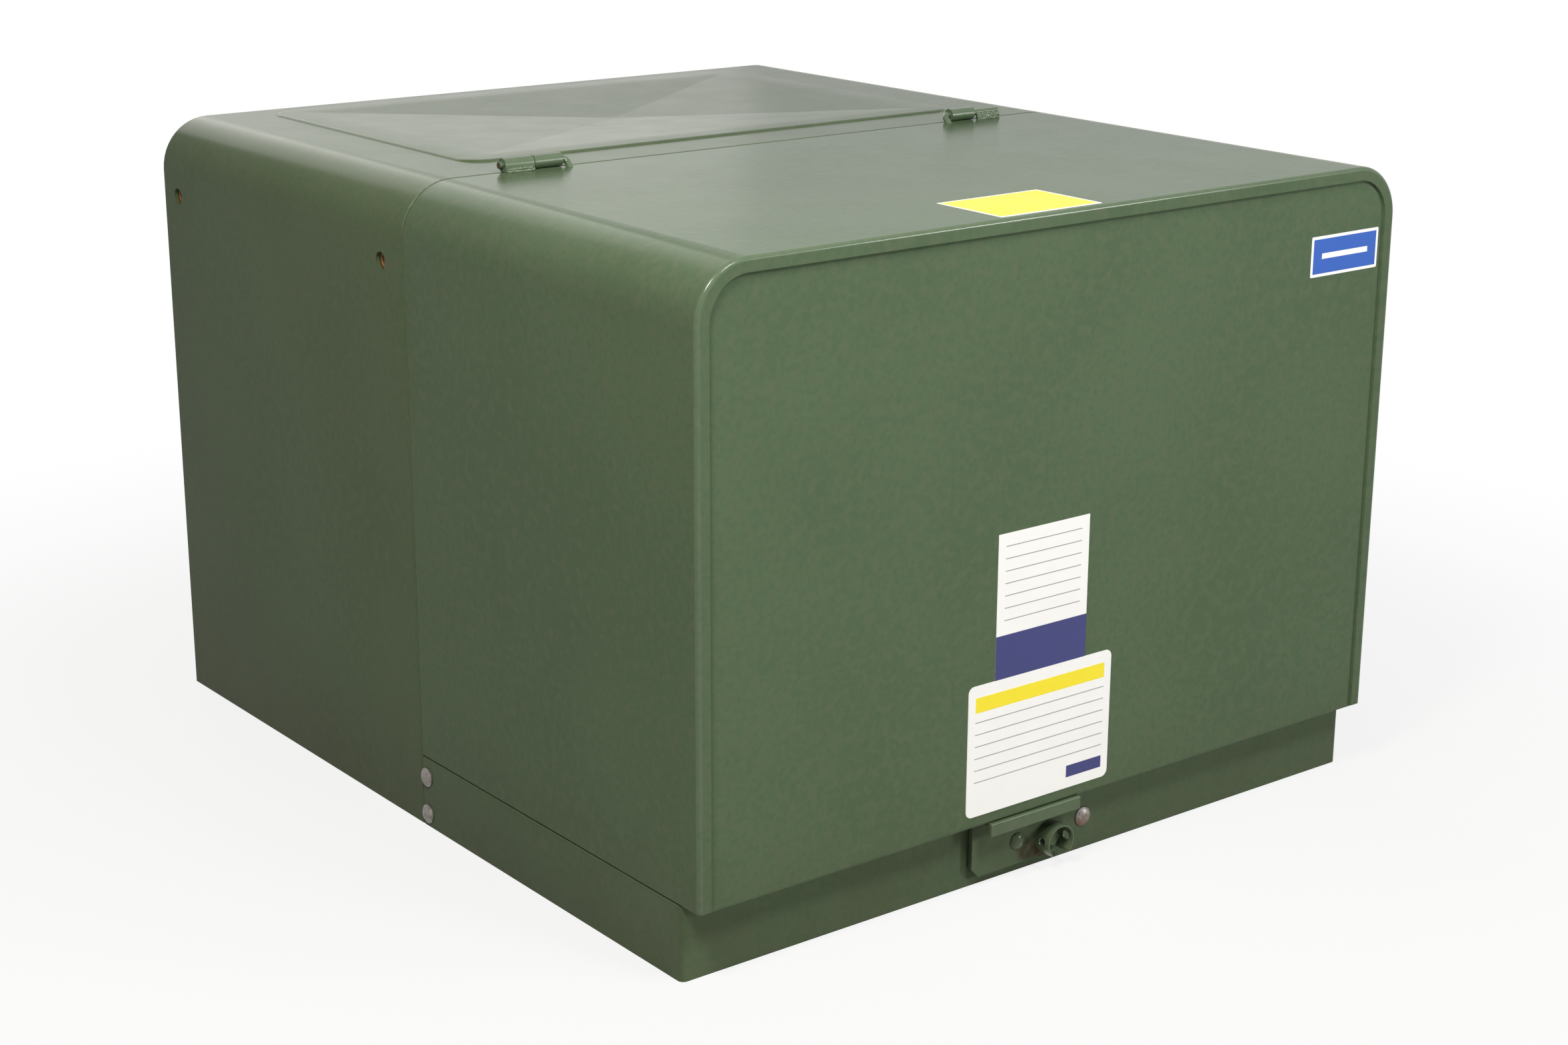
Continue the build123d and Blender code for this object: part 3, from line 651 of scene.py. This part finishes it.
def seam_rings(details):
    """The tank's front edge, rounded towards the hood. The seam that it leaves is wider on top."""
    back = tank_low.y + OVERLAP
    rings = []
    for (x, z), (out_x, out_z) in arch_line(0, details.bend, tank_low.z, tank_high.z, steps=24):
        front = hood_high.y + details.seam_opening * (1 + out_z * details.seam_top_share)
        # Depths below the outer face, and places from back to front
        section = ((details.plate, back), (SUNK, back), (SUNK, front + 1.2 * MM), (SUNK, front + 0.9 * MM),
                   (0.35 * MM, front + 0.3 * MM), (1 * MM, front), (details.plate, front))
        rings.append([(x - depth * out_x, y, z - depth * out_z) for depth, y in section])
    return rings


def flange_rings(details):
    """A skin just proud of the hood's rolled edge, from the outer face round to the flange's front."""
    roll, skin, steps = details.flange_bend, 0.06 * MM, 8
    turns = [math.pi / 2 * step / steps for step in range(steps + 1)]
    section = [(roll - (roll + skin) * math.cos(turn), roll - (roll + skin) * math.sin(turn))
               for turn in turns]
    section += [(roll - (roll - skin) * math.cos(turn), roll - (roll - skin) * math.sin(turn))
                for turn in reversed(turns)]
    foot = hood_low.z + 1 * MM
    return [[(x - depth * out_x, max(hood_low.y + inward, hood_low.y), z - depth * out_z)
             for depth, inward in section]
            for (x, z), (out_x, out_z) in arch_line(0, details.bend, foot, hood_high.z, steps=16)]


def sill_rings(details):
    """The sill's upper edge, from the left end round the front to the right end."""
    low, high = sill_high.z - OVERLAP, hood_low.z - details.sill_opening
    inner = details.plate - 0.3 * MM
    # Depths below the outer face, and heights
    section = ((SUNK, low), (SUNK, high - 1.5 * MM), (SUNK, high - 1.1 * MM), (0.4 * MM, high - 0.4 * MM),
               (1.2 * MM, high), (details.plate - 1.3 * MM, high), (inner, high - 1.1 * MM), (inner, low))
    bend, steps = details.sill_bend, 6
    corner = [((-1, 0), (sill_low.x, sill_high.y))]
    for step in range(steps + 1):
        angle = math.pi + math.pi / 2 * step / steps
        out = (math.cos(angle), math.sin(angle))
        corner.append((out, (sill_low.x + bend + bend * out[0], sill_low.y + bend + bend * out[1])))
    path = corner + [((-dx, dy), (-x, y)) for (dx, dy), (x, y) in reversed(corner)]
    return [[(x - depth * dx, y - depth * dy, z) for depth, z in section] for (dx, dy), (x, y) in path]


def latch_rings(details):
    """The fold behind the latch plate's free edge, from its top left round to its top right."""
    fold, inset, corner = 3 * MM, 1.2 * MM, 9 * MM
    top, front, back = latch_high.z - 1 * MM, latch_high.y - 1 * MM, sill_low.y - details.latch_opening
    # Points of the edge, and the ways in from them
    edge = (((latch_low.x, top), (1, 0)), ((latch_low.x, latch_low.z + corner), (1, 0.4)),
            ((latch_low.x + corner, latch_low.z), (0.4, 1)), ((latch_high.x, latch_low.z), (-1, 1)),
            ((latch_high.x, top), (-1, 0)))
    section = ((inset, front), (inset, back), (fold, back), (fold, front))
    return [[(x + in_x * depth, y, z + in_z * depth) for depth, y in section]
            for (x, z), (in_x, in_z) in edge]


def panel_rings(details):
    """The front panel's rolled lower edge."""
    front, low, top = panel_low.y, panel_low.z - details.panel_roll, panel_low.z + 1 * MM
    inner, end = front + 2.9 * MM, 4 * MM
    section = ((front + SUNK, top), (front + SUNK, low + 1.3 * MM), (front + 0.5 * MM, low + 0.4 * MM),
               (front + 1.4 * MM, low), (inner, low), (inner, top))
    return [[(x, y, z) for y, z in section] for x in (panel_low.x + end, panel_high.x - end)]


class TRANSFORMER_OT_edge_strips(bpy.types.Operator):
    """Narrow the seams round the hood, and round its edges, with thin strips"""
    bl_idname = "transformer.edge_strips"
    bl_label = "Edge strips"

    def execute(self, context):
        details = context.scene.cabinet_details
        # The tank's darker, warmer enamel carries painted shade; the seam strip's sides take it
        aged, enamel, satin = (bpy.data.materials[f"{finish}_green_enamel"]
                               for finish in ("aged", "semi_gloss", "satin"))
        rolled = green_enamel(context.scene.cabinet_colours, "rolled_edge_green_enamel", ROLLED_SHINE)
        seam = strip("seam_edge", seam_rings(details), aged, "tank").data
        seam.materials.append(satin)
        # Rain and hands have polished the strip over the top and its bends
        for face in seam.polygons:
            face.material_index = int(face.normal.z > 0.25)
        strip("flange_roll", flange_rings(details), rolled, "hood")
        strip("sill_edge", sill_rings(details), enamel, "tank")
        strip("latch_fold", latch_rings(details), enamel, "hood")
        strip("panel_roll", panel_rings(details), enamel, "hood")
        return {"FINISHED"}


class TRANSFORMER_OT_welds(bpy.types.Operator):
    """Lay weld beads on the hinges and round the tank's end walls"""
    bl_idname = "transformer.welds"
    bl_label = "Welds"

    def execute(self, context):
        details = context.scene.cabinet_details
        tree = weld_tree()
        values = {"Bead Radius": details.bead_radius, "Ripple Pitch": details.bead_pitch, "Ripple Depth": 0.1,
                  "Lump Height": details.bead_lump, "Lump Size": 5 * MM,
                  "Material": bpy.data.materials["gloss_green_enamel"]}
        top, gap = tank_high.z, 0.6 * MM

        def run(node, shares, y, z):
            """A straight line along a solid's length, between two shares of it."""
            low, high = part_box(node)
            return [(low.x + (high.x - low.x) * share, y, z) for share in shares]

        rear_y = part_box("hinge_barrel_tank_left")[1].y + gap
        tank_lines = [run(f"hinge_barrel_tank_{side}", (0.04, 0.96), rear_y, top + 1 * MM)
                      for side in ("left", "right")]
        grow("hinge_welds_tank", tank_lines, tree, values, "tank")

        front_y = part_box("hinge_barrel_hood_left")[0].y - gap
        hood_lines = [run("hinge_barrel_hood_left", (0.02, 0.98), front_y, top + 0.8 * MM),
                      run("hinge_barrel_hood_left", (0.06, 0.94), front_y + gap, top + 3 * MM)]
        rod_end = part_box("hinge_pin_right")[1].x
        # Runs along the rod, each a distance back and up
        for back, up in ((0, 0.8), (0.7, 3), (2.2, 5)):
            hood_lines.append([(x, front_y + back * MM, top + up * MM)
                               for x in (rod_end - 34 * MM, rod_end - 2 * MM)])
        spatter = {**values, "Bead Radius": details.bead_radius * 0.8, "Ripple Pitch": 2.6 * MM,
                   "Lump Height": details.hinge_lump, "Lump Size": 2.6 * MM}
        grow("hinge_welds_hood", hood_lines, tree, spatter, "hood")

        sunk = 0.4 * MM
        line = arch_line(details.plate + gap, details.bend, tank_low.z + 4 * MM, top)
        wall_lines = [[(x, y, z) for (x, z), out in line]
                      for y in (front_wall_y - sunk, rear_wall_y - sunk)]
        grow("tank_wall_welds", wall_lines, tree, values, "tank")
        return {"FINISHED"}


class TRANSFORMER_OT_threads(bpy.types.Operator):
    """Cut the threads in the lifting bosses and on the terminals' studs"""
    bl_idname = "transformer.threads"
    bl_label = "Threads"

    def execute(self, context):
        details = context.scene.cabinet_details
        tree = thread_tree()
        mounts = {mount["name"]: mount for mount in frame["record"]["mounts"]}
        for side, turn in (("left", math.pi / 2), ("right", -math.pi / 2)):
            hole = mounts[f"lifting_front_{side}"]
            radius, length = hole["dims"]["r_mm"] * MM, hole["dims"]["length_mm"] * MM
            inward = -Vector(hole["axis"])
            mouths = []
            for end in ("front", "rear"):
                low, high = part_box(f"lifting_boss_{end}_{side}")
                x = low.x if side == "left" else high.x
                mouth = Vector((x, (low.y + high.y) / 2, (low.z + high.z) / 2))
                mouths.append([mouth + inward * 0.6 * MM])
            values = {"Thread Radius": radius, "Thread Pitch": details.thread_pitch,
                      "Thread Length": length - 2 * MM, "Thread Depth": details.thread_depth,
                      "Turn": (0, turn, 0), "Material": bpy.data.materials["bare_rusted_thread"]}
            grow(f"lifting_threads_{side}", mouths, tree, values, "tank")
        studs = [[at_end(node)] for node in SECONDARIES]
        values = {"Thread Radius": 11.7 * MM, "Thread Pitch": 2 * MM, "Thread Length": 22 * MM,
                  "Thread Depth": 0.9 * MM, "Turn": FACING_FRONT,
                  "Material": bpy.data.materials["tinned_copper"]}
        grow("stud_threads", studs, tree, values, "tank")
        return {"FINISHED"}


class TRANSFORMER_OT_labels(bpy.types.Operator):
    """Stick blank labels on the hood"""
    bl_idname = "transformer.labels"
    bl_label = "Blank labels"

    def execute(self, context):
        colours, details = context.scene.cabinet_colours, context.scene.cabinet_details
        films = {hue: vinyl_film(f"{hue}_vinyl_film", getattr(colours, f"film_{hue}"))
                 for hue in ("white", "yellow", "blue", "navy", "grey")}
        film, ink = details.film, details.film + details.print_height

        def field(hue, left, bottom, right, top, heights, radius=0):
            """One film, with its edges in millimetres."""
            edges = [edge * MM for edge in (left, bottom, right, top, radius)]
            return rounded_outline(*edges), *heights, films[hue]

        def rules(left, right, ups, heights):
            """Thin grey lines at those heights on the label."""
            return [field("grey", left, up, right, up + 0.8, heights) for up in ups]

        def on_top(across, up, height):
            return across, up, hood_high.z + height

        def on_front(across, up, height):
            return across, panel_low.y - height, up

        # Undersides and faces of the films, of the print on them, and of the thicker card with its print
        base, printed, over = (0, film), (film / 2, ink), (film / 2, ink + details.print_height)
        card, card_print = (0, film * 2), (film, film * 2 + details.print_height)
        label("hood_top_label", [field("white", -94, -489, 30, -401, base, radius=1.5),
                                 field("yellow", -91, -486, 27, -404, printed)], on_top, "hood")
        label("corner_label", [field("white", 314.5, 546, 412.5, 586.5, base, radius=1.5),
                               field("blue", 317.5, 549, 409.5, 583.5, printed),
                               field("white", 330, 563.5, 397, 569, over)], on_front, "hood")
        label("blank_sheet", [field("white", -89.5, 206, 25.5, 357, base),
                              field("navy", -89.5, 206, 25.5, 258, printed),
                              *rules(-80, 16, range(272, 345, 12), printed)], on_front, "hood")
        label("blank_card", [field("white", -122, 84, 61, 215, card, radius=7),
                             field("yellow", -113, 188, 52, 203, card_print),
                             field("navy", 6, 95, 52, 107, card_print),
                             *rules(-113, 52, range(118, 180, 12), card_print)], on_front, "hood")
        return {"FINISHED"}


def bolt_places(centre, radius, count):
    """Single points round a flange that faces the front, the first one on top."""
    turns = [math.pi / 2 + math.tau * place / count for place in range(count)]
    return [[centre + Vector((radius * math.cos(turn), 0, radius * math.sin(turn)))] for turn in turns]


def finish_plate(aluminium, rings, zinc):
    """Etches plain rules on the blank plate and rivets it on."""
    low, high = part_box("rating_plate")
    etched = speckled("etched_plate_rules", darker(aluminium, 0.25), darker(aluminium, 0.2), grain=2,
                      metallic=0.8, roughness=0.5, bump=0.1)
    margin, width, first, pitch, inset = 14 * MM, 0.9 * MM, 18, 13, 7 * MM
    rules = []
    for place in range(6):
        up = low.z + (first + pitch * place) * MM
        outline = rounded_outline(low.x + margin, up, high.x - margin, up + width, 0)
        rules.append((outline, -0.2 * MM, 0.05 * MM, etched))
    label("plate_rules", rules, lambda across, up, height: (across, low.y - height, up), "tank")
    corners = [[Vector((x, low.y, z))] for x in (low.x + inset, high.x - inset)
               for z in (low.z + inset, high.z - inset)]
    values = {"Ring Radius": 1.2 * MM, "Cord Radius": 1.6 * MM, "Material": zinc}
    grow("plate_rivets", corners, rings, values, "tank")


class TRANSFORMER_OT_fittings(bpy.types.Operator):
    """Bolt, seal and finish the fittings on the tank's front wall"""
    bl_idname = "transformer.fittings"
    bl_label = "Compartment fittings"

    def execute(self, context):
        zinc, rubber, tin = (bpy.data.materials[name] for name in
                             ("bright_zinc_plate", "moulded_black_rubber", "tinned_copper"))
        hexes, rings = hex_tree(), ring_tree()
        fuse = ("fuse_holder",)

        # Radius of the bolt circle, number of bolts and thickness of the flange, in millimetres
        flanges = ((PRIMARIES, 44, 3, 10), (SECONDARIES, 36, 4, 12), (fuse, 25, 2, 8))
        bolts = []
        for nodes, radius, count, flange in flanges:
            for node in nodes:
                bolts += bolt_places(on_wall(node) - Vector((0, flange * MM, 0)), radius * MM, count)
        values = {"Across Corners": 11.5 * MM, "Head Height": 5.5 * MM, "Washer Radius": 7 * MM,
                  "Washer Height": 1.4 * MM, "Material": zinc}
        grow("flange_bolts", bolts, hexes, values, "tank")

        nuts = [[at_end(node)] for node in SECONDARIES]
        values = {"Across Corners": 40 * MM, "Head Height": 9 * MM, "Washer Radius": 21 * MM,
                  "Washer Height": 2 * MM, "Material": tin}
        grow("stud_nuts", nuts, hexes, values, "tank")

        gaskets = (("primary_gaskets", PRIMARIES, 50), ("secondary_gaskets", SECONDARIES, 42),
                   ("fuse_gasket", fuse, 30), ("level_gasket", ("level_plug",), 24))
        for name, nodes, radius in gaskets:
            seats = [[on_wall(node) - Vector((0, 1 * MM, 0))] for node in nodes]
            values = {"Ring Radius": radius * MM, "Cord Radius": 1.8 * MM, "Material": rubber}
            grow(name, seats, rings, values, "tank")

        valve = middle("relief_valve")
        hang = [[Vector((valve.x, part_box("relief_valve")[0].y + 7 * MM, valve.z - 24 * MM))]]
        values = {"Ring Radius": 14 * MM, "Cord Radius": 1.4 * MM, "Material": zinc}
        grow("relief_pull_ring", hang, rings, values, "tank")
        finish_plate(context.scene.cabinet_colours.aluminium, rings, zinc)
        return {"FINISHED"}


def pale_floor(colour):
    """A floor that lights the cabinet like pale concrete, and fades to white where it is seen.

    What shows of its shade and shadows near the cabinet fades out between the two distances, in metres.
    """
    material, add, place = new_material("pale_floor")
    near, far, near_white = 0.5, 1.6, 0.82
    pale = add("ShaderNodeBsdfDiffuse", {"Color": shade(colour)})
    glow = add("ShaderNodeEmission", {"Color": WHITE, "Strength": 1})
    away = add("ShaderNodeVectorMath", (place,), operation="LENGTH")
    fade = add(RANGE, {"Value": away, "From Min": near, "From Max": far, "To Min": near_white, "To Max": 1},
               interpolation_type="SMOOTHSTEP")
    share = add(MATHS, (fade, background_rays(add)), operation="MULTIPLY")
    both = add("ShaderNodeMixShader", (share, pale, glow))
    add("ShaderNodeOutputMaterial", {"Surface": both})
    return material


def background_rays(add):
    """One for rays that show the background as it is: camera, glossy and transmission rays."""
    path = add("ShaderNodeLightPath").outputs
    seen = path["Is Camera Ray"]
    for kind in ("Is Glossy Ray", "Is Transmission Ray"):
        seen = add(MATHS, (seen, path[kind]), operation="MAXIMUM")
    return seen


class TRANSFORMER_OT_stage(bpy.types.Operator):
    """Set up the pale floor, the soft light and the camera"""
    bl_idname = "transformer.stage"
    bl_label = "Set the stage"

    def execute(self, context):
        scene = context.scene
        settings = scene.stage_settings
        scene.view_settings.view_transform = "Standard"
        camera = in_scene("camera", bpy.data.cameras.new("camera"))
        camera.data.sensor_width = 36
        camera.data.lens = settings.lens
        camera.data.clip_end = 100
        pitch, turn, roll = settings.camera_turn
        aim = Euler((math.pi / 2 - pitch, 0, -turn)).to_matrix() @ Matrix.Rotation(roll, 3, "Z")
        camera.matrix_world = Matrix.Translation(settings.camera_place) @ aim.to_4x4()
        scene.camera = camera

        world = bpy.data.worlds.new("studio")
        scene.world = world
        world.use_nodes = True
        world.node_tree.nodes.clear()
        add = partial(add_node, world.node_tree)
        room = add("ShaderNodeBackground", {"Color": WHITE, "Strength": settings.room_light})
        white = add("ShaderNodeBackground", {"Color": WHITE, "Strength": 1})
        both = add("ShaderNodeMixShader", (background_rays(add), room, white))
        add("ShaderNodeOutputWorld", {"Surface": both})

        reach = 30
        mesh = bpy.data.meshes.new("floor")
        mesh.from_pydata([(-reach, -reach, 0), (reach, -reach, 0), (reach, reach, 0), (-reach, reach, 0)],
                         [], [(0, 1, 2, 3)])
        mesh.materials.append(pale_floor(settings.floor))
        in_scene("floor", mesh)

        # Place, width, power and colour of each lamp, and the point that all of them face
        lamps = (
            ("front_low_right", (2.4, -3.2, 1.2), 0.8, 54, (1, 1, 1)),
            ("front_high", (-0.1, -1.6, 1.85), 0.5, 20, (1, 1, 1)),
            ("left_high", (-1.45, -1.05, 2.1), 0.6, 47, (1, 0.94, 0.85)),
            ("rear_high", (0.31, 3.34, 2.3), 2.2, 33, (1, 0.985, 0.95)),
            ("rear_low", (2.2, 4.55, 1.38), 2.0, 4.2, (1, 0.98, 0.92)),
        )
        lit = Vector((0, 0, 0.3))
        for name, place, size, power, colour in lamps:
            lamp = bpy.data.lights.new(name, "AREA")
            lamp.shape = "DISK"
            lamp.size = size
            lamp.energy = power
            lamp.color = colour
            holder = in_scene(name, lamp)
            holder.visible_camera = False
            holder.location = place
            holder.rotation_euler = (lit - holder.location).to_track_quat("-Z", "Y").to_euler()
        return {"FINISHED"}


class TRANSFORMER_PT_panel(bpy.types.Panel):
    bl_label = "Pad-mounted transformer"
    bl_idname = "TRANSFORMER_PT_panel"
    bl_space_type = "VIEW_3D"
    bl_region_type = "UI"
    bl_category = "Transformer"

    def draw(self, context):
        for operator in operators:
            self.layout.operator(operator.bl_idname)


operators = (TRANSFORMER_OT_finish_solids, TRANSFORMER_OT_cover, TRANSFORMER_OT_edge_strips,
             TRANSFORMER_OT_welds, TRANSFORMER_OT_threads, TRANSFORMER_OT_labels, TRANSFORMER_OT_fittings,
             TRANSFORMER_OT_stage)
classes = (CabinetColours, CabinetDetails, StageSettings, *operators, TRANSFORMER_PT_panel)


def register():
    for made in classes:
        bpy.utils.register_class(made)
    bpy.types.Scene.cabinet_colours = bpy.props.PointerProperty(type=CabinetColours)
    bpy.types.Scene.cabinet_details = bpy.props.PointerProperty(type=CabinetDetails)
    bpy.types.Scene.stage_settings = bpy.props.PointerProperty(type=StageSettings)


def unregister():
    del bpy.types.Scene.stage_settings
    del bpy.types.Scene.cabinet_details
    del bpy.types.Scene.cabinet_colours
    for made in reversed(classes):
        bpy.utils.unregister_class(made)


def main():
    register()
    bpy.ops.transformer.finish_solids()
    bpy.ops.transformer.cover()
    bpy.ops.transformer.edge_strips()
    bpy.ops.transformer.welds()
    bpy.ops.transformer.threads()
    bpy.ops.transformer.labels()
    bpy.ops.transformer.fittings()
    bpy.ops.transformer.stage()


if __name__ == "__main__":
    main()
